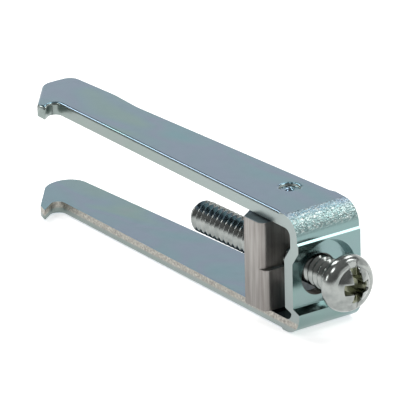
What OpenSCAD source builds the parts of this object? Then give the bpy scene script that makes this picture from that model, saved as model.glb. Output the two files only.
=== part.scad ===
// DIN rail end stop: a folded steel bracket with two claws, a clamp block and its clamping screw.
// Origin: underside of the lower arm, on the strip's centre line, half way along the bracket.
// X runs along the arms with the screw head at +X, Y across the strip, Z up.

/* [Bracket] */
// Length over the claws and the web
bracket_len = 50.5; // [44:0.1:60]
// Height over the two arms
bracket_h = 12.8; // [12:0.1:16]
// Width of the strip at the web
strip_w = 8.01; // [7.6:0.01:10]
// Thickness of the sheet
sheet_t = 1.4; // [1:0.05:1.5]
// Inner radius of the two bends
bend_r = 0.9; // [0.6:0.05:1.4]
// How far the rail side of each arm comes in from the web to the claw
rail_taper = 1.84; // [0.5:0.02:2.4]
// How far the back of each arm comes in from the web to the end
back_taper = 1.04; // [0:0.02:1.4]
// How far the back of the upper arm stands out past the web's
upper_shoulder = 0.25; // [0.1:0.05:0.4]
// Height at which the web steps back under the upper bend
crease_z = 10.05; // [9.8:0.05:10.2]
// Depth of that step
crease_d = 0.2; // [0.1:0.05:0.3]

/* [Claws] */
// Distance from the web's face to the lower claw's tip
claw_x = 43.4; // [42:0.1:46]
// Reach of the lower claw's tip past the strip's centre line
lower_reach = 5.35; // [4.6:0.05:5.6]
// Reach of the upper claw's tip past the strip's centre line
upper_reach = 4.5; // [4.3:0.05:5.4]
// Angle of the claws' outer side to the arm
claw_angle = 40; // [38:0.5:43]
// Undercut of the claws' inner side
claw_undercut = 36; // [28:0.5:38]
// Width of the blunt tips
claw_tip = 1.5; // [1.1:0.05:1.7]
// Tilt of the lower tip to the arm
lower_tilt = 18; // [10:0.5:25]
// Tilt of the upper tip to the arm
upper_tilt = 3; // [0:0.5:15]
// Round in the root of the claws
claw_root_r = 0.8; // [0.4:0.05:1]
// How much shorter the lower arm is than the upper one
lower_short = 0.75; // [0.2:0.05:1]
// Round between the upper arm's end and its claw
upper_nose_r = 2; // [1:0.1:3]
// Round between the lower arm's end and its claw
lower_nose_r = 3; // [1:0.1:4]
// Corner round at the back of the upper arm
upper_corner_r = 1.4; // [0.3:0.05:1.6]
// Corner round at the back of the lower arm
lower_corner_r = 2.2; // [0.3:0.05:2.4]
// How far the back of the upper arm flares out at its end
upper_flare = 0.5; // [0.1:0.05:0.6]
// Distance from the end at which the flare starts
flare_start = 12.6; // [10:0.1:16]
// Length over which it widens
flare_len = 4.6; // [4:0.1:7]

/* [Pressed seat in the web] */
// Radius of the seat round the screw
seat_r = 3.7; // [3.4:0.05:3.75]
// Depth of the seat
seat_d = 1.1; // [0.6:0.05:1.15]
// Slope of the seat's wall, as the width it takes
seat_slope = 0.35; // [0.1:0.05:0.5]
// Upper end of the seat's open side at the web's face
seat_open_z = 9.2; // [8.8:0.05:9.6]
// Upper end of the seat's open side at its floor
seat_floor_z = 7.7; // [7.4:0.05:8.4]
// Diameter of the screw hole
hole_d = 4.4; // [4.3:0.05:5]
// How far the hole's centre lies below the screw, and nearer the rail
hole_offset = 0.25; // [0:0.05:0.3]

/* [Pip] */
// Distance of the pip from the web's face
pip_x = 8.35; // [6:0.05:12]
// Offset of the pip from the centre line
pip_y = 1.345; // [0:0.005:2]
// Outer radius of the ring round the pip
pip_r = 1.06; // [0.8:0.02:1.2]
// Depth of the ring
pip_d = 0.3; // [0.1:0.05:0.4]

/* [Clamp block] */
// Distance from the web's face to the back of the block as drawn
block_x = 5.1; // [4.9:0.05:9]
// Width of the block at its nose
nose_w = 2.96; // [2.6:0.02:3.4]
// Width of the block at the screw
block_w = 4.2; // [4:0.05:4.6]
// Reach of the nose past the strip's centre line
nose_reach = 4.855; // [4.5:0.005:5.2]
// Angle of the nose's slanted side to the strip's width
nose_angle = 34; // [30:0.5:38]
// Reach of the block behind the strip's centre line
block_back = 3.045; // [2.6:0.005:3.2]
// Gap between the block and each arm
block_gap = 0.2; // [0.1:0.05:0.5]
// Round at the nose's corner on the web side
nose_r = 0.7; // [0.3:0.05:0.9]
// Thickness of the foot on the web side
foot_t = 0.5; // [0.3:0.05:0.6]
// Height of the foot
foot_h = 4.5; // [4:0.05:5.5]

/* [Screw] */
// Outer diameter of the thread
thread_d = 3.5; // [3:0.05:3.8]
// Height of the thread's turns
thread_h = 0.43; // [0.3:0.01:0.5]
// Length under the head
screw_len = 24.6; // [22:0.1:28]
// Distance from the web's face to the underside of the head as drawn
head_x = 2.9; // [2.6:0.05:4.5]
// Diameter of the head
head_d = 6.1; // [5.6:0.05:7]
// Height of the head at the edge of its crown
head_h = 1.5; // [1.4:0.05:1.8]
// Height of the head's straight rim
rim_h = 0.3; // [0.2:0.05:0.4]
// Radius of the head's domed crown
crown_r = 2.1; // [2:0.05:2.3]
// Rise of the crown above its edge
crown_rise = 1; // [0.8:0.05:1.2]
// Offset of the screw from the strip's centre line
screw_y = -0.335; // [-0.4:0.005:0.2]
// How far the screw lies below the middle of the bracket
screw_drop = 0.25; // [0:0.05:0.4]
// Length of the screw's tapered lead
lead_h = 0.75; // [0.4:0.05:1]
// Running clearance round the thread in the block
thread_gap = 0.05; // [0.02:0.01:0.1]
// Width of the slot
slot_w = 0.95; // [0.8:0.05:1.1]
// Depth of the slot
slot_d = 1.2; // [1:0.05:1.3]
// Reach of each wing of the cross
cross_r = 1.9; // [1.7:0.05:2]
// Width of each wing of the cross
cross_w = 1.1; // [0.9:0.05:1.2]
// Depth of the cross
cross_d = 1.6; // [1.4:0.05:1.8]

/* [Hidden] */

web_x = bracket_len / 2;
end_x = -web_x;
screw_z = bracket_h / 2 - screw_drop;
bend_out = bend_r + sheet_t;
inner_low = sheet_t;
inner_high = bracket_h - sheet_t;
rail_side = -strip_w / 2;
back_side = strip_w / 2;
seat_wall = 0.2;
edge_r = 0.3;
over = 1;
fine = 96;

// Points of an arc about c from angle a to angle b, in n steps.
function arc(c, r, a, b, n = 8) =
    [for (i = [0:n]) c + r * [cos(a + (b - a) * i / n), sin(a + (b - a) * i / n)]];

// Corner p between neighbours q and s, rounded with radius r by n steps.
function rounded(q, p, s, r, n = 8) =
    let (u = (q - p) / norm(q - p), v = (s - p) / norm(s - p),
         half = acos(u * v) / 2, m = (u + v) / norm(u + v),
         c = p + m * r / sin(half),
         turn = u.x * v.y - u.y * v.x > 0 ? 1 : -1,
         a = atan2(-m.y, -m.x), w = turn * (90 - half))
    arc(c, r, a + w, a - w, n);

// Outline with corners given as [x, y, radius]; a radius of 0 leaves the corner sharp.
function outline(k) =
    [for (i = [0:len(k) - 1])
        let (n = len(k), p = k[i], q = k[(i + n - 1) % n], s = k[(i + 1) % n])
        each p[2] == 0 ? [[p.x, p.y]]
            : rounded([q.x, q.y], [p.x, p.y], [s.x, s.y], p[2])];

// Height of the strip's rail side and back side at a distance d from the web's face.
function rail_y(d) = rail_side + rail_taper * d / bracket_len;
function back_y(d) = back_side - back_taper * d / bracket_len;

// Cross-section of the folded strip, seen from the side: two arms, two bends and the web.
module strip_section() {
    step_x = web_x - crease_d;
    difference() {
        union() {
            translate([end_x, 0]) square([bracket_len - bend_out, bracket_h / 2]);
            translate([end_x, bracket_h / 2]) square([bracket_len - bend_out - crease_d, bracket_h / 2]);
            translate([end_x, bend_out]) square([bracket_len, crease_z - bend_out]);
            translate([end_x, bend_out]) square([step_x - end_x, bracket_h - 2 * bend_out]);
            translate([web_x - bend_out, bend_out]) circle(bend_out, $fn = fine);
            translate([step_x - bend_out, bracket_h - bend_out]) circle(bend_out, $fn = fine);
            polygon([[step_x - bend_out, crease_z], [web_x, crease_z], [step_x, crease_z + crease_d],
                     [step_x - bend_out, crease_z + crease_d]]);
        }
        translate([end_x - over, inner_low])
            square([bracket_len + over - bend_out, inner_high - inner_low]);
        translate([end_x - over, bend_out])
            square([bracket_len + over - sheet_t, bracket_h - 2 * bend_out]);
        for (z = [bend_out, bracket_h - bend_out])
            translate([web_x - bend_out, z]) circle(bend_r, $fn = fine);
    }
}

// Back corners of an arm that ends at x: straight when flare is 0, else widened by it.
function back_corners(x, gain, flare, corner_r) = let (w = web_x - x)
    [[x, back_y(w) + gain + flare, corner_r],
     if (flare > 0) each [
         [web_x - w + flare_start - flare_len, back_y(w - flare_start + flare_len) + gain + flare, flare_start],
         [x + flare_start, back_y(w - flare_start) + gain, flare_start]]];

// Plan of one arm that ends at x, with its claw: reach and tilt set the tip, nose_r and corner_r
// round its end, and gain and flare widen its back.
module arm_plan(x, reach, tilt, nose_r, corner_r, gain = 0, flare = 0) {
    k = rail_taper / bracket_len;
    t = tan(claw_undercut);
    tip = [web_x - claw_x - (lower_reach - reach) * t, -reach];
    heel = tip + claw_tip * [-cos(tilt), sin(tilt)];
    root_y = (rail_side + k * (web_x - tip.x - t * tip.y)) / (1 - k * t);
    polygon(outline([
        [web_x + over, rail_y(-over), 0],
        [tip.x - (root_y - tip.y) * t, root_y, claw_root_r],
        [tip.x, tip.y, 0],
        [heel.x, heel.y, 0],
        [x, heel.y + (heel.x - x) * tan(claw_angle), nose_r],
        each back_corners(x, gain, flare, corner_r),
        if (gain > 0) [web_x - 2 * bend_out, back_y(2 * bend_out) + gain, 0],
        if (gain > 0) [web_x - bend_out, back_y(bend_out), 0],
        [web_x + over, back_y(-over), 0]]));
}

// Shape that the press tool leaves round the screw: a round seat, open towards the rail side.
// x is its face, depth its depth and grow widens it all round.
module seat(x, depth, grow) {
    r = seat_r + grow;
    low = screw_z - r;
    translate([x - depth, screw_y, screw_z]) rotate([0, 90, 0])
        cylinder(h = depth, r1 = r - seat_slope, r2 = r, $fn = fine);
    translate([0, screw_y, 0]) rotate([90, 0, 0]) linear_extrude(strip_w)
        polygon([[x - depth, low + seat_slope], [x, low], [x, seat_open_z + grow],
                 [x - depth, seat_floor_z + grow]]);
}

// Ring pressed into the upper arm round a low dome.
module pip_cut() {
    dome_r = pip_r / 2;
    ball = (dome_r * dome_r + pip_d * pip_d) / (2 * pip_d);
    difference() {
        translate([0, 0, -pip_d]) cylinder(h = pip_d + over, r = pip_r, $fn = fine);
        translate([0, 0, -ball]) sphere(ball, $fn = fine);
    }
}

module bracket() {
    color([0.55, 0.65, 0.68]) difference() {
        intersection() {
            union() {
                translate([0, strip_w, 0]) rotate([90, 0, 0]) linear_extrude(2 * strip_w) strip_section();
                seat(web_x - sheet_t, seat_d, seat_wall);
            }
            union() {
                linear_extrude(bracket_h / 2)
                    arm_plan(end_x + lower_short, lower_reach, lower_tilt, lower_nose_r, lower_corner_r);
                translate([0, 0, bracket_h / 2]) linear_extrude(bracket_h / 2)
                    arm_plan(end_x, upper_reach, upper_tilt, upper_nose_r, upper_corner_r,
                        upper_shoulder, upper_flare);
            }
        }
        seat(web_x, seat_d, 0);
        translate([web_x - 3 * sheet_t, screw_y - hole_offset, screw_z - hole_offset])
            rotate([0, 90, 0]) cylinder(h = 4 * sheet_t, d = hole_d, $fn = fine);
        translate([web_x - pip_x, pip_y, bracket_h]) pip_cut();
    }
}

// Plan of the block; web_side is its face towards the web.
module block_plan(web_side) {
    x = web_x - block_x;
    lead = x - nose_w;
    polygon(outline([
        [lead, -nose_reach, 0],
        [x + web_side, -nose_reach, nose_r],
        [x + web_side, block_back, edge_r],
        [x - block_w, block_back, edge_r],
        [x - block_w, -nose_reach + (block_w - nose_w) / tan(nose_angle), 0]]));
}

module clamp_block() {
    low = inner_low + block_gap;
    high = inner_high - block_gap;
    color([0.62, 0.58, 0.57]) difference() {
        union() {
            translate([0, 0, low]) linear_extrude(high - low) block_plan(0);
            translate([0, 0, low]) linear_extrude(foot_h) block_plan(foot_t);
        }
        translate([web_x - block_x - 2 * block_w, screw_y, screw_z]) rotate([0, 90, 0])
            cylinder(h = 3 * block_w, r = thread_d / 2 + thread_gap, $fn = fine);
    }
}

// Slot and cross that the driver turns, cut down from the top of the crown at z = 0.
module driver_recess() {
    translate([-head_d, -slot_w / 2, -slot_d]) cube([2 * head_d, slot_w, slot_d + over]);
    intersection() {
        translate([0, 0, -cross_d]) cylinder(h = cross_d + over, r1 = cross_r / 2,
            r2 = cross_r * (1 + over / cross_d) - over / cross_d * cross_r / 2, $fn = fine);
        for (a = [0, 90]) rotate([0, 0, a]) translate([-cross_r * 2, -cross_w / 2, -cross_d])
            cube([cross_r * 4, cross_w, cross_d + over]);
    }
}

module clamp_screw() {
    r = thread_d / 2;
    rim = head_d / 2;
    ball = (crown_r * crown_r + crown_rise * crown_rise) / (2 * crown_rise);
    color([0.75, 0.76, 0.75]) translate([web_x + head_x, screw_y, screw_z]) rotate([0, 90, 0])
        difference() {
            union() {
                translate([0, 0, -screw_len]) cylinder(h = lead_h, r1 = r - thread_h, r2 = r, $fn = fine);
                translate([0, 0, lead_h - screw_len]) cylinder(h = screw_len, r = r, $fn = fine);
                rotate_extrude($fn = fine) polygon(concat(
                    [[0, 0], [rim, 0]],
                    [for (a = [0:9:90]) [crown_r + (rim - crown_r) * cos(a), rim_h + (head_h - rim_h) * sin(a)]],
                    [for (i = [1:8]) let (q = crown_r * (1 - i / 8))
                        [q, head_h + crown_rise - ball + sqrt(ball * ball - q * q)]]));
            }
            translate([0, 0, head_h + crown_rise]) driver_recess();
        }
}

bracket();
clamp_block();
clamp_screw();
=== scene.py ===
"""Looks of a DIN rail end stop: a folded bracket, its clamp block and its clamping screw.

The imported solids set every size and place. This script rolls and breaks their edges, cuts the
screw's real thread and gives each surface its finish. Lengths are in metres.
"""
import logging
import math
from dataclasses import dataclass, field
from enum import Enum

import bmesh
import bpy
from mathutils import Matrix, Vector


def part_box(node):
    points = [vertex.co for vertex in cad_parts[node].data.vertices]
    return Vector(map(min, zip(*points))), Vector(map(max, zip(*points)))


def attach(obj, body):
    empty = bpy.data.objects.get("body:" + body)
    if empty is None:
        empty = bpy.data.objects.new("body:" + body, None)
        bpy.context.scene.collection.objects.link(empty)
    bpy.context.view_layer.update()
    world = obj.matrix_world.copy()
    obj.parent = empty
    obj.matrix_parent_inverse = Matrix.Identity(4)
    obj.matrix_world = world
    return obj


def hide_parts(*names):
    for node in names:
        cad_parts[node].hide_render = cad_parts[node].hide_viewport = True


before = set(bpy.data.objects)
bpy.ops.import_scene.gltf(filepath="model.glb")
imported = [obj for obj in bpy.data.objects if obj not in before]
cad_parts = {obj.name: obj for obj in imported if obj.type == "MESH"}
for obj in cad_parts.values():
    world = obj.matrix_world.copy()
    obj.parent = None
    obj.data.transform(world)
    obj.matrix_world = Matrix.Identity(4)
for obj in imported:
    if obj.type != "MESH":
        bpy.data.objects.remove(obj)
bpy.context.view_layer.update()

MM = 0.001
WELD = 0.002 * MM
Colour = tuple[float, float, float]
Triple = tuple[float, float, float]
Socket = bpy.types.NodeSocket
log = logging.getLogger("end_stop")


class Axis(Enum):
    """Axis of the frame, named as the Separate XYZ node names it."""

    X = "X"
    Y = "Y"
    Z = "Z"


class Side(Enum):
    """Side of the sheet that a face lies on."""

    OUTER = "outer"
    INNER = "inner"
    EDGE = "edge"


class Recipe:
    """Node recipe of one finish, built round a Principled shader."""

    def __init__(self, name: str, metallic: float = 1.0) -> None:
        """Starts the recipe.

        Args:
            name: Name of the material.
            metallic: How metallic the whole surface is.
        """
        self.material = bpy.data.materials.new(name)
        self.material.use_nodes = True
        self.tree = self.material.node_tree
        self.shader = self.tree.nodes["Principled BSDF"]
        self.shader.inputs["Metallic"].default_value = metallic
        self.place = self.node("ShaderNodeTexCoord").outputs["Object"]
        split = self.node("ShaderNodeSeparateXYZ", {"Vector": self.place})
        self.along = {axis: split.outputs[axis.value] for axis in Axis}

    def node(self, kind: str, inputs: dict | None = None, **settings) -> bpy.types.Node:
        """Adds a node.

        Args:
            kind: Blender's name of the node type.
            inputs: Value or socket for each named or numbered input.
            **settings: Properties of the node itself.

        Returns:
            The new node.
        """
        made = self.tree.nodes.new(kind)
        for name, value in settings.items():
            setattr(made, name, value)
        for name, value in (inputs or {}).items():
            self.feed(made.inputs[name], value)
        return made

    def feed(self, socket: Socket, value: object) -> None:
        """Links a socket to another one, or sets its constant.

        Args:
            socket: Input that is fed.
            value: Output that it is linked to, or the constant.
        """
        if isinstance(value, bpy.types.NodeSocket):
            self.tree.links.new(value, socket)
        else:
            socket.default_value = value

    def give(self, name: str, value: object) -> None:
        """Feeds the named input of the shader."""
        self.feed(self.shader.inputs[name], value)

    def maths(self, operation: str, a: object, b: object = 0.0, c: object = 0.0) -> Socket:
        """Combines two or three numbers by the named operation."""
        return self.node("ShaderNodeMath", {0: a, 1: b, 2: c}, operation=operation).outputs[0]

    def grain(self, size: float, stretch: Triple = (1, 1, 1), detail: float = 2.0,
              swirl: float = 0.0) -> Socket:
        """Makes a cloudy pattern fixed to the piece.

        Args:
            size: Rough size of one cloud.
            stretch: Frequency along each axis, where less than 1 draws the pattern out.
            detail: How many finer octaves are added.
            swirl: How much the pattern is distorted.

        Returns:
            Value between 0 and 1, about 0.5 on average.
        """
        placed = self.node("ShaderNodeMapping", {"Vector": self.place, "Scale": stretch})
        noise = self.node("ShaderNodeTexNoise", {
            "Vector": placed.outputs[0], "Scale": 1 / size, "Detail": detail, "Distortion": swirl})
        return noise.outputs["Fac"]

    def rise(self, value: Socket, low: float, high: float) -> Socket:
        """Makes a smooth step.

        Args:
            value: Value that the step follows.
            low: Value at which the step is 0.
            high: Value at which the step is 1.

        Returns:
            The step, between 0 and 1.
        """
        return self.node("ShaderNodeMapRange", {
            "Value": value, "From Min": low, "From Max": high},
            interpolation_type="SMOOTHSTEP").outputs[0]

    def window(self, axis: Axis, low: float, high: float, soft: float) -> Socket:
        """Makes a mask that is 1 between two places on an axis.

        Args:
            axis: Axis along which the places lie.
            low: Lower place.
            high: Upper place.
            soft: Width over which each side fades.

        Returns:
            The mask.
        """
        place = self.along[axis]
        return self.maths("MULTIPLY", self.rise(place, low - soft / 2, low + soft / 2),
                          self.rise(place, high + soft / 2, high - soft / 2))

    def both(self, a: Socket, b: Socket) -> Socket:
        """Makes a mask that holds where both masks do."""
        return self.maths("MULTIPLY", a, b)

    def squared_radius(self, middle_y: float, middle_z: float) -> Socket:
        """Measures how far the surface lies from a line along X.

        Args:
            middle_y: Place of the line along Y.
            middle_z: Place of the line along Z.

        Returns:
            The squared distance.
        """
        offsets = [self.maths("SUBTRACT", self.along[axis], middle)
                   for axis, middle in ((Axis.Y, middle_y), (Axis.Z, middle_z))]
        return self.maths("ADD", *(self.maths("MULTIPLY", o, o) for o in offsets))

    def tones(self, value: Socket, stops: list[tuple[float, Colour]]) -> Socket:
        """Turns a value into a colour.

        Args:
            value: Value between 0 and 1.
            stops: Place and colour of each stop, in rising order.

        Returns:
            The colour.
        """
        ramp = self.node("ShaderNodeValToRGB", {"Fac": value})
        elements = ramp.color_ramp.elements
        while len(elements) < len(stops):
            elements.new(0.5)
        for element, (place, colour) in zip(elements, stops):
            element.position = place
            element.color = (*colour, 1)
        return ramp.outputs["Color"]

    def mix(self, mask: object, under: object, over: object) -> Socket:
        """Lays one colour over another.

        Args:
            mask: How much of the upper colour shows.
            under: Lower colour, as a socket or a colour.
            over: Upper colour, as a socket or a colour.

        Returns:
            The mixed colour.
        """
        mixer = self.node("ShaderNodeMix", data_type="RGBA")
        shades = [c if isinstance(c, bpy.types.NodeSocket) else (*c, 1) for c in (under, over)]
        for socket, value in zip((mixer.inputs[0], mixer.inputs[6], mixer.inputs[7]),
                                 (mask, *shades)):
            self.feed(socket, value)
        return mixer.outputs[2]

    def bump(self, height: Socket, depth: float, strength: object = 1.0,
             under: Socket | None = None) -> Socket:
        """Raises the surface by a pattern.

        Args:
            height: Pattern between 0 and 1.
            depth: Height of its full range.
            strength: How strongly it shows, as a number or a mask.
            under: Normal that it is laid over.

        Returns:
            The new normal.
        """
        inputs = {"Height": height, "Distance": depth, "Strength": strength}
        if under is not None:
            inputs["Normal"] = under
        return self.node("ShaderNodeBump", inputs).outputs[0]


@dataclass(frozen=True)
class ZincPlate:
    """Glossy zinc with a thin blue-green film, pressed rough round the bends, with painted glints
    there and painted shade in the screw hole.
    """

    web: float
    height: float
    hole_y: float
    hole_z: float
    teal: Colour = (0.145, 0.282, 0.325)
    steel_blue: Colour = (0.170, 0.270, 0.325)
    violet: Colour = (0.188, 0.255, 0.335)
    sage: Colour = (0.178, 0.290, 0.288)
    rose: Colour = (0.240, 0.270, 0.318)
    web_green: Colour = (0.225, 0.322, 0.300)
    # Near-white colour of the painted highlights on the bend.
    painted_glint: Colour = (0.60, 0.64, 0.62)
    # Near-black painted shade inside the screw hole.
    painted_hole_shade: Colour = (0.055, 0.050, 0.042)
    web_tint: float = 0.75
    hole_radius: float = 2.2 * MM
    peel_size: float = 0.24 * MM
    peel_depth: float = 0.10 * MM
    skin_depth: float = 0.003 * MM

    def make(self) -> bpy.types.Material:
        """Makes the material.

        Returns:
            The material.
        """
        recipe = Recipe("zinc_plate")
        film = recipe.grain(7 * MM, (0.45, 1, 1), 1.5, 0.8)
        colour = recipe.tones(film, [
            (0.28, self.teal), (0.42, self.steel_blue), (0.50, self.violet),
            (0.56, self.steel_blue), (0.66, self.sage), (0.78, self.rose)])
        face = recipe.rise(recipe.along[Axis.X], self.web - 2.0 * MM, self.web - 1.0 * MM)
        colour = recipe.mix(recipe.maths("MULTIPLY", face, self.web_tint), colour,
                            self.web_green)
        across = recipe.window(Axis.X, self.web - 2.5 * MM, self.web + MM, 0.6 * MM)
        upright = recipe.window(Axis.Z, self.height - 1.6 * MM, self.height + MM, 0.5 * MM)
        bend = recipe.both(across, upright)
        specks = recipe.grain(self.peel_size, (1.3, 0.7, 1.3), 3.0)
        # Painted highlights: the near-white glint colour laid on the specks of the bend.
        pale = recipe.mix(recipe.both(bend, recipe.rise(specks, 0.4, 0.9)), colour, self.painted_glint)
        radius = recipe.maths("POWER", recipe.squared_radius(self.hole_y, self.hole_z), 0.5)
        # Mask of the hole's wall through the web, which gets the painted shade.
        bore = recipe.both(
            recipe.rise(radius, self.hole_radius + 0.06 * MM, self.hole_radius + 0.02 * MM),
            recipe.rise(recipe.along[Axis.X], self.web - 4 * MM, self.web - 3 * MM))
        recipe.give("Base Color", recipe.mix(bore, pale, self.painted_hole_shade))
        haze = recipe.grain(1.2 * MM, (1, 1, 1), 4.0)
        recipe.give("Roughness", recipe.maths("MULTIPLY_ADD", haze, 0.14, 0.10))
        skin = recipe.bump(recipe.grain(0.5 * MM, (1, 1, 1), 3.0), self.skin_depth, 0.5)
        recipe.give("Normal", recipe.bump(specks, self.peel_depth, bend, skin))
        return recipe.material


@dataclass(frozen=True)
class ShearedEdge:
    """Cut edge of the sheet: a burnished band, and a torn one beside the inner face."""

    sheet: float
    torn_from: float = 0.72 * MM
    burnished: Colour = (0.235, 0.295, 0.268)
    pressed: Colour = (0.310, 0.375, 0.355)
    torn: Colour = (0.42, 0.40, 0.355)
    torn_dark: Colour = (0.27, 0.25, 0.235)
    torn_light: Colour = (0.62, 0.60, 0.55)
    smudge: Colour = (0.30, 0.30, 0.32)
    claw_end: float = -12 * MM
    fold_end: float = 22 * MM
    line_depth: float = 0.010 * MM
    crumb_depth: float = 0.06 * MM

    def make(self) -> bpy.types.Material:
        """Makes the material.

        Returns:
            The material.
        """
        recipe = Recipe("sheared_edge")
        shear = recipe.grain(0.5 * MM, (1, 1, 0.12), 4.0)
        smooth = recipe.mix(recipe.rise(recipe.along[Axis.X], self.claw_end, self.fold_end),
                            self.burnished, self.pressed)
        smooth = recipe.mix(recipe.maths("MULTIPLY", recipe.grain(2.5 * MM), 0.5), smooth,
                            self.smudge)
        tear = recipe.window(Axis.Z, self.torn_from, self.sheet, 0.25 * MM)
        crumbs = recipe.grain(0.22 * MM, (1, 1, 1), 5.0)
        rough = recipe.tones(crumbs, [(0.32, self.torn_dark), (0.5, self.torn),
                                      (0.7, self.torn_light)])
        recipe.give("Base Color", recipe.mix(tear, smooth, rough))
        recipe.give("Roughness", recipe.maths("MULTIPLY_ADD", tear, 0.2, 0.28))
        lines = recipe.bump(shear, self.line_depth, 0.6)
        recipe.give("Normal", recipe.bump(crumbs, self.crumb_depth, tear, lines))
        return recipe.material


@dataclass(frozen=True)
class DrawnBar:
    """Plain bar drawn lengthwise, with a greyish pink cast, and painted blue-green shade on its
    top end under the arm.
    """

    top: float
    cast: Colour = (0.285, 0.270, 0.255)
    pale: Colour = (0.385, 0.370, 0.350)
    # Painted shade on the top end, tinted blue-green like the arm just above it.
    painted_top_shade: Colour = (0.17, 0.22, 0.24)
    dark: Colour = (0.215, 0.195, 0.185)
    draw_depth: float = 0.02 * MM

    def make(self) -> bpy.types.Material:
        """Makes the material.

        Returns:
            The material.
        """
        recipe = Recipe("drawn_bar")
        draw = recipe.grain(0.28 * MM, (1, 1, 0.04), 4.0)
        broad = recipe.grain(1.6 * MM, (1, 1, 0.25), 2.0)
        colour = recipe.tones(recipe.maths("MULTIPLY", recipe.maths("ADD", draw, broad), 0.5),
                              [(0.36, self.dark), (0.5, self.cast), (0.64, self.pale)])
        # Mask of the top end face, which gets the painted shade.
        end = recipe.rise(recipe.along[Axis.Z], self.top - 0.06 * MM, self.top - 0.02 * MM)
        recipe.give("Base Color", recipe.mix(end, colour, self.painted_top_shade))
        recipe.give("Roughness", recipe.maths("MULTIPLY_ADD", broad, 0.12, 0.38))
        recipe.give("Normal", recipe.bump(draw, self.draw_depth, 0.7))
        return recipe.material


@dataclass(frozen=True)
class BrightScrew:
    """Bright plate on a turned and rolled screw, with painted shade down in its recess."""

    crown: float
    axis_y: float
    axis_z: float
    silver: Colour = (0.35, 0.37, 0.355)
    shade: Colour = (0.26, 0.28, 0.27)
    # Dark olive painted shade down in the driver recess.
    painted_recess_shade: Colour = (0.20, 0.21, 0.15)
    dome_width: float = 5.4 * MM
    recess_radius: float = 2.0 * MM
    recess_depth: float = 2.2 * MM
    rings: float = 9000.0
    ring_depth: float = 0.003 * MM

    def make(self) -> bpy.types.Material:
        """Makes the material.

        Returns:
            The material.
        """
        recipe = Recipe("bright_screw")
        squared = recipe.squared_radius(self.axis_y, self.axis_z)
        radius = recipe.maths("POWER", squared, 0.5)
        turned = recipe.node("ShaderNodeTexNoise", {
            "W": recipe.maths("ADD", radius, recipe.along[Axis.X]), "Scale": self.rings},
            noise_dimensions="1D").outputs["Fac"]
        cloud = recipe.grain(0.9 * MM, (1, 1, 1), 3.0)
        colour = recipe.tones(cloud, [(0.35, self.shade), (0.6, self.silver)])
        # Mask of the driver recess below the crown, which gets the painted shade.
        sunk = recipe.maths("SUBTRACT", self.crown, recipe.maths(
            "MULTIPLY_ADD", squared, 1 / self.dome_width, recipe.along[Axis.X]))
        floor = self.crown - self.recess_depth
        depth = recipe.both(recipe.rise(sunk, 0.12 * MM, 0.4 * MM),
                            recipe.rise(recipe.along[Axis.X], floor, floor + 0.2 * MM))
        inner = recipe.both(depth, recipe.rise(radius, self.recess_radius,
                                               self.recess_radius - 0.1 * MM))
        recipe.give("Base Color", recipe.mix(inner, colour, self.painted_recess_shade))
        recipe.give("Roughness", recipe.maths("MULTIPLY_ADD", cloud, 0.10, 0.13))
        recipe.give("Normal", recipe.bump(turned, self.ring_depth, 0.5))
        return recipe.material


@dataclass
class Solid:
    """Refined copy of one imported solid, which the finished piece is made from."""

    node: str
    melt_to: float = 1.0
    flat_angle: float = math.radians(0.5)
    hard_angle: float = math.radians(28.0)
    mesh: bmesh.types.BMesh = field(init=False)

    def __post_init__(self) -> None:
        """Copies the solid, joins its loose triangles and melts the flat ones together."""
        self.mesh = bmesh.new()
        self.mesh.from_mesh(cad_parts[self.node].data)
        self.mesh.edges.layers.float.new("bevel_weight_edge")
        bmesh.ops.remove_doubles(self.mesh, verts=self.mesh.verts, dist=WELD)
        melted = [v for v in self.mesh.verts if v.co.x < self.melt_to]
        bmesh.ops.dissolve_limit(self.mesh, angle_limit=self.flat_angle,
                                 use_dissolve_boundaries=False, verts=melted,
                                 edges=[e for e in self.mesh.edges
                                        if all(v.co.x < self.melt_to for v in e.verts)],
                                 delimit=set())
        self.mesh.normal_update()

    def hard_edges(self) -> list[bmesh.types.BMEdge]:
        """Finds the edges where two faces meet at more than the hard angle."""
        return [e for e in self.mesh.edges
                if len(e.link_faces) == 2 and e.calc_face_angle(0.0) > self.hard_angle]

    def weigh(self, weights: dict[bmesh.types.BMEdge, float]) -> None:
        """Marks the edges that are rolled, and keeps the hard ones sharp.

        Args:
            weights: Width of each edge's round, as a share of the full width.
        """
        layer = self.mesh.edges.layers.float["bevel_weight_edge"]
        for edge in self.hard_edges():
            edge.smooth = False
        for edge, weight in weights.items():
            edge[layer] = weight

    def finish(self, name: str, materials: list[bpy.types.Material]) -> bpy.types.Object:
        """Turns the mesh into an object.

        Args:
            name: Name of the piece.
            materials: Material of each material index.

        Returns:
            The object, linked to the scene.
        """
        data = bpy.data.meshes.new(name)
        self.mesh.to_mesh(data)
        self.mesh.free()
        for material in materials:
            data.materials.append(material)
        piece = bpy.data.objects.new(name, data)
        bpy.context.scene.collection.objects.link(piece)
        return piece


def roll_edges(piece: bpy.types.Object, width: float, segments: int) -> None:
    """Rounds the marked edges of a piece and evens its shading.

    Args:
        piece: Object whose edges carry their share of the width.
        width: Full width of the round.
        segments: Steps of the round.
    """
    roll = piece.modifiers.new("roll", "BEVEL")
    roll.limit_method = "WEIGHT"
    roll.offset_type = "OFFSET"
    roll.width = width
    roll.segments = segments
    roll.use_clamp_overlap = False
    even = piece.modifiers.new("even", "WEIGHTED_NORMAL")
    even.keep_sharp = True
    for polygon in piece.data.polygons:
        polygon.use_smooth = True
    for edge, weight in zip(piece.data.edges, piece.data.attributes["bevel_weight_edge"].data):
        edge.use_edge_sharp = edge.use_edge_sharp and weight.value == 0
    graph = bpy.context.evaluated_depsgraph_get()
    rolled = bpy.data.meshes.new_from_object(piece.evaluated_get(graph))
    piece.modifiers.clear()
    piece.data = rolled


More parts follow.
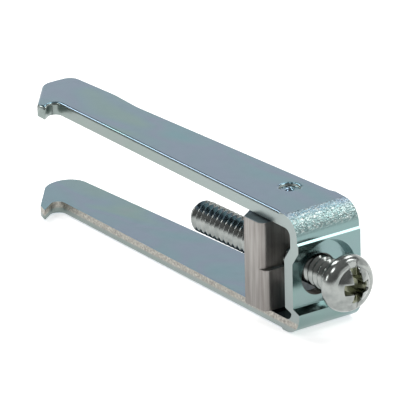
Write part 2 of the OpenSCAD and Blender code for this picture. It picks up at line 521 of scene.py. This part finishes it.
@dataclass
class FoldedBracket:
    """The strip folded to a U, with its two claws and the seat pressed in its web."""

    sheet: float = 1.4 * MM
    bend: float = 2.3 * MM
    die_roll: float = 0.32 * MM
    roll_steps: int = 4
    long_edge: float = 8 * MM
    roll_end: float = 1.0 * MM
    hole_shift: float = 0.25 * MM

    def skin_side(self, face: bmesh.types.BMFace, web: float, height: float) -> Side:
        """Tells which side of the sheet a face is.

        Args:
            face: Face of the bracket.
            web: Place of the web's outer face along X.
            height: Height over the two arms.

        Returns:
            The side, where a cut edge counts as one.
        """
        middle = face.calc_center_median()
        normal = face.normal
        on_arm = middle.x < web - self.bend
        if abs(normal.y) > 0.9 or (on_arm and abs(normal.z) < 0.3):
            return Side.EDGE
        away = normal.z if middle.z > height / 2 else -normal.z
        on_outside = away > 0.3 or (normal.x > 0.3 and not on_arm)
        return Side.OUTER if on_outside else Side.INNER

    def build(self) -> bpy.types.Object:
        """Makes the bracket with its die-rolled edges.

        Returns:
            The bracket.
        """
        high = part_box("bracket")[1]
        fold = high.x - self.bend
        solid = Solid("bracket", fold + 0.02 * MM)
        for edge in [e for e in solid.hard_edges()
                     if e.is_convex and e.calc_length() > self.long_edge
                     and abs(max(v.co.x for v in e.verts) - fold) < 0.3 * MM]:
            last = max(edge.verts, key=lambda v: v.co.x)
            bmesh.utils.edge_split(edge, last, self.roll_end / edge.calc_length())
        sides = {f: self.skin_side(f, high.x, high.z) for f in solid.mesh.faces}
        for face, side in sides.items():
            face.material_index = 1 if side is Side.EDGE else 0
        weights = {}
        for edge in solid.hard_edges():
            pair = {sides[f] for f in edge.link_faces}
            end = max(v.co.x for v in edge.verts)
            on_arm = end < fold - self.roll_end / 2
            if edge.is_convex and pair == {Side.EDGE, Side.OUTER} and on_arm:
                weights[edge] = 1.0
        solid.weigh(weights)
        screw_low, screw_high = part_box("clamp_screw")
        hole = (screw_low + screw_high) / 2 - Vector((0, self.hole_shift, self.hole_shift))
        piece = solid.finish("bracket_rolled", [ZincPlate(high.x, high.z, hole.y, hole.z).make(),
                                                ShearedEdge(self.sheet).make()])
        roll_edges(piece, self.die_roll, self.roll_steps)
        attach(piece, "bracket")
        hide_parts("bracket")
        return piece


@dataclass
class ClampBlock:
    """The drawn block that the screw pulls against the rail."""

    break_width: float = 0.07 * MM
    break_steps: int = 3

    def build(self) -> bpy.types.Object:
        """Makes the block with its broken edges.

        Returns:
            The block.
        """
        solid = Solid("clamp_block")
        solid.weigh({edge: 1.0 for edge in solid.hard_edges() if edge.is_convex})
        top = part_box("clamp_block")[1].z
        piece = solid.finish("clamp_block_drawn", [DrawnBar(top).make()])
        roll_edges(piece, self.break_width, self.break_steps)
        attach(piece, "block")
        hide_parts("clamp_block")
        return piece


@dataclass
class ClampScrew:
    """The machine screw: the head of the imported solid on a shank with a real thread."""

    pitch: float = 0.8 * MM
    crest: float = 1.75 * MM
    root: float = 1.33 * MM
    head_height: float = 2.5 * MM
    lead: float = 0.75 * MM
    tip: float = 1.3 * MM
    flank: float = 0.03 * MM
    rounding: float = 0.05 * MM
    steps: int = 40
    break_width: float = 0.06 * MM
    break_steps: int = 3

    def head(self) -> Solid:
        """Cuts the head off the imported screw.

        Returns:
            The head, open where the shank joins it.
        """
        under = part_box("clamp_screw")[1].x - self.head_height
        solid = Solid("clamp_screw")
        mesh = solid.mesh
        bmesh.ops.bisect_plane(mesh, geom=[*mesh.verts, *mesh.edges, *mesh.faces],
                               plane_co=(under + 0.001 * MM, 0, 0), plane_no=(1, 0, 0),
                               clear_inner=True)
        solid.mesh.normal_update()
        return solid

    def add_shank(self, mesh: bmesh.types.BMesh, low: Vector, high: Vector) -> None:
        """Winds the thread and trims it to length.

        Args:
            mesh: Mesh that the shank is added to.
            low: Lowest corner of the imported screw.
            high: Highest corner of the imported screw.
        """
        middle = (low + high) / 2
        start, end = low.x, high.x - self.head_height + 0.02 * MM
        turns = math.ceil((end - start) / self.pitch) + 2
        shank = bmesh.new()
        foot, shoulder = self.root + self.flank, self.crest - self.rounding
        profile = [(0.0, self.root), (0.09, self.root), (0.14, foot), (0.36, shoulder),
                   (0.42, self.crest), (0.50, self.crest), (0.56, shoulder), (0.77, foot),
                   (0.80, self.root)]
        chain = [shank.verts.new((start - self.pitch + x * MM, middle.y, middle.z + r))
                 for x, r in profile]
        edges = [shank.edges.new(pair) for pair in zip(chain, chain[1:])]
        bmesh.ops.spin(shank, geom=[*chain, *edges], cent=(0, middle.y, middle.z), axis=(1, 0, 0),
                       dvec=(self.pitch / self.steps, 0, 0), angle=math.tau * turns,
                       steps=self.steps * turns, use_merge=False, use_duplicate=False)
        bmesh.ops.remove_doubles(shank, verts=shank.verts, dist=WELD)
        for vert in shank.verts:
            taper = min(1.0, max(0.0, (vert.co.x - start) / self.lead))
            limit = self.tip + (self.crest - self.tip) * math.sin(taper * math.pi / 2)
            away = Vector((0, vert.co.y - middle.y, vert.co.z - middle.z))
            if away.length > limit:
                vert.co = Vector((vert.co.x, middle.y, middle.z)) + away * (limit / away.length)
        for place, side in ((start + 0.01 * MM, False), (end, True)):
            cut = bmesh.ops.bisect_plane(
                shank, geom=[*shank.verts, *shank.edges, *shank.faces], plane_co=(place, 0, 0),
                plane_no=(1, 0, 0), clear_outer=side, clear_inner=not side)
            rim = [e for e in cut["geom_cut"] if isinstance(e, bmesh.types.BMEdge)]
            bmesh.ops.edgeloop_fill(shank, edges=rim)
        bmesh.ops.recalc_face_normals(shank, faces=shank.faces)
        for face in shank.faces:
            face.smooth = abs(face.normal.x) < 0.99
        wound = bpy.data.meshes.new("shank")
        shank.to_mesh(wound)
        shank.free()
        mesh.from_mesh(wound)
        bpy.data.meshes.remove(wound)

    def build(self) -> bpy.types.Object:
        """Makes the screw.

        Returns:
            The screw.
        """
        low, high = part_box("clamp_screw")
        solid = self.head()
        solid.weigh({e: 1.0 for e in solid.hard_edges() if e.is_convex})
        middle = (low + high) / 2
        finish = BrightScrew(high.x, middle.y, middle.z).make()
        piece = solid.finish("clamp_screw_head", [finish])
        roll_edges(piece, self.break_width, self.break_steps)
        whole = bmesh.new()
        whole.from_mesh(piece.data)
        self.add_shank(whole, low, high)
        whole.to_mesh(piece.data)
        whole.free()
        piece.name = "clamp_screw_threaded"
        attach(piece, "screw")
        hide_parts("clamp_screw")
        return piece


@dataclass(frozen=True)
class Softbox:
    """Rectangular soft light that looks at the part."""

    name: str
    towards: Triple
    width: float
    height: float
    brightness: float
    reach: float = 0.6

    def hang(self, aim: Vector) -> None:
        """Hangs the light.

        Args:
            aim: Place that it looks at.
        """
        data = bpy.data.lights.new(self.name, "AREA")
        data.shape = "RECTANGLE"
        data.size = self.width
        data.size_y = self.height
        data.energy = self.brightness * math.pi * self.width * self.height
        light = bpy.data.objects.new(self.name, data)
        ray = Vector(self.towards).normalized()
        light.rotation_euler = ray.to_track_quat("Z", "Y").to_euler()
        light.location = aim + ray * self.reach
        bpy.context.scene.collection.objects.link(light)


@dataclass
class Studio:
    """Pale floor, soft light and camera. Sky stops are pairs of height and brightness."""

    aim: Vector = field(default_factory=lambda: Vector((7.220, -3.066, 9.538)) * MM)
    azimuth: float = 54.0
    elevation: float = 21.047
    roll: float = -1.337
    distance: float = 0.5676
    lens: float = 491.4
    floor_size: float = 1.5
    floor_drop: float = 0.05 * MM
    floor_glow: float = 0.62
    front_sky: tuple = ((0.0, 0.9), (0.08, 0.8), (0.14, 0.16), (1.0, 0.25))
    back_sky: tuple = ((0.0, 1.0), (0.44, 0.95), (0.52, 0.18), (1.0, 0.3))
    lights: tuple[Softbox, ...] = (
        Softbox("left_softbox", (-0.76, -0.12, 0.64), 0.14, 0.5, 5.0),
        Softbox("back_softbox", (0.30, 0.55, 0.78), 0.20, 0.3, 5.0),
        Softbox("back_left_softbox", (-0.36, 0.55, 0.75), 0.13, 0.3, 4.0),
        Softbox("front_high_softbox", (-0.10, -0.60, 0.78), 0.16, 0.16, 5.0),
        Softbox("front_low_softbox", (-0.42, -0.85, 0.30), 0.12, 0.16, 4.0))

    def camera(self) -> None:
        """Places the camera."""
        azimuth, elevation, roll = map(math.radians, (self.azimuth, self.elevation, self.roll))
        level = Vector((-math.sin(azimuth), math.cos(azimuth), 0))
        right = Vector((math.cos(azimuth), math.sin(azimuth), 0))
        ahead = math.cos(elevation) * level - Vector((0, 0, math.sin(elevation)))
        up = right.cross(ahead)
        turn = Matrix.Rotation(-roll, 3, ahead)
        data = bpy.data.cameras.new("camera")
        data.sensor_width = 36
        data.lens = self.lens
        data.clip_start = 0.01
        data.clip_end = 5
        camera = bpy.data.objects.new("camera", data)
        place = Matrix((turn @ right, turn @ up, -ahead)).transposed().to_4x4()
        place.translation = self.aim - self.distance * ahead
        camera.matrix_world = place
        bpy.context.scene.collection.objects.link(camera)
        bpy.context.scene.camera = camera

    def floor(self) -> None:
        """Lays the pale floor."""
        mesh = bmesh.new()
        bmesh.ops.create_grid(mesh, x_segments=1, y_segments=1, size=self.floor_size)
        bmesh.ops.translate(mesh, verts=mesh.verts, vec=(0, 0, -self.floor_drop))
        data = bpy.data.meshes.new("floor")
        mesh.to_mesh(data)
        mesh.free()
        recipe = Recipe("pale_floor", 0.0)
        recipe.give("Roughness", 0.8)
        tone = recipe.tones(recipe.grain(60 * MM),
                            [(0.3, (0.88, 0.88, 0.88)), (0.7, (0.9, 0.9, 0.9))])
        recipe.give("Base Color", tone)
        recipe.give("Emission Color", (1, 1, 1, 1))
        recipe.give("Emission Strength", self.floor_glow)
        data.materials.append(recipe.material)
        piece = bpy.data.objects.new("floor", data)
        bpy.context.scene.collection.objects.link(piece)

    def sky(self) -> None:
        """Makes the surroundings: bright low down behind the part, dim overhead and in front."""
        world = bpy.data.worlds.new("studio")
        bpy.context.scene.world = world
        world.use_nodes = True
        tree = world.node_tree
        place = tree.nodes.new("ShaderNodeTexCoord")
        split = tree.nodes.new("ShaderNodeSeparateXYZ")
        tree.links.new(place.outputs["Generated"], split.inputs[0])
        behind = tree.nodes.new("ShaderNodeMapRange")
        behind.interpolation_type = "SMOOTHSTEP"
        behind.inputs["From Min"].default_value = -0.3
        behind.inputs["From Max"].default_value = 0.25
        tree.links.new(split.outputs[1], behind.inputs["Value"])
        mixer = tree.nodes.new("ShaderNodeMix")
        tree.links.new(behind.outputs[0], mixer.inputs[0])
        for stops, socket in ((self.front_sky, 2), (self.back_sky, 3)):
            ramp = tree.nodes.new("ShaderNodeValToRGB")
            tree.links.new(split.outputs[2], ramp.inputs[0])
            tree.links.new(ramp.outputs[0], mixer.inputs[socket])
            while len(ramp.color_ramp.elements) < len(stops):
                ramp.color_ramp.elements.new(0.5)
            for element, (height, level) in zip(ramp.color_ramp.elements, stops):
                element.position = height
                element.color = (level, level, level, 1)
        tree.links.new(mixer.outputs[0], tree.nodes["Background"].inputs[0])

    def build(self) -> None:
        """Sets up the whole studio."""
        self.camera()
        self.floor()
        self.sky()
        for light in self.lights:
            light.hang(self.aim)
        bpy.context.scene.view_settings.view_transform = "Standard"


def main() -> None:
    """Builds the studio and the three pieces, and logs each piece's face count."""
    logging.basicConfig(level=logging.INFO, format="%(message)s")
    Studio().build()
    for part in (FoldedBracket(), ClampBlock(), ClampScrew()):
        piece = part.build()
        log.info("%s: %d faces", piece.name, len(piece.data.polygons))
    bpy.context.view_layer.update()


if __name__ == "__main__":
    main()
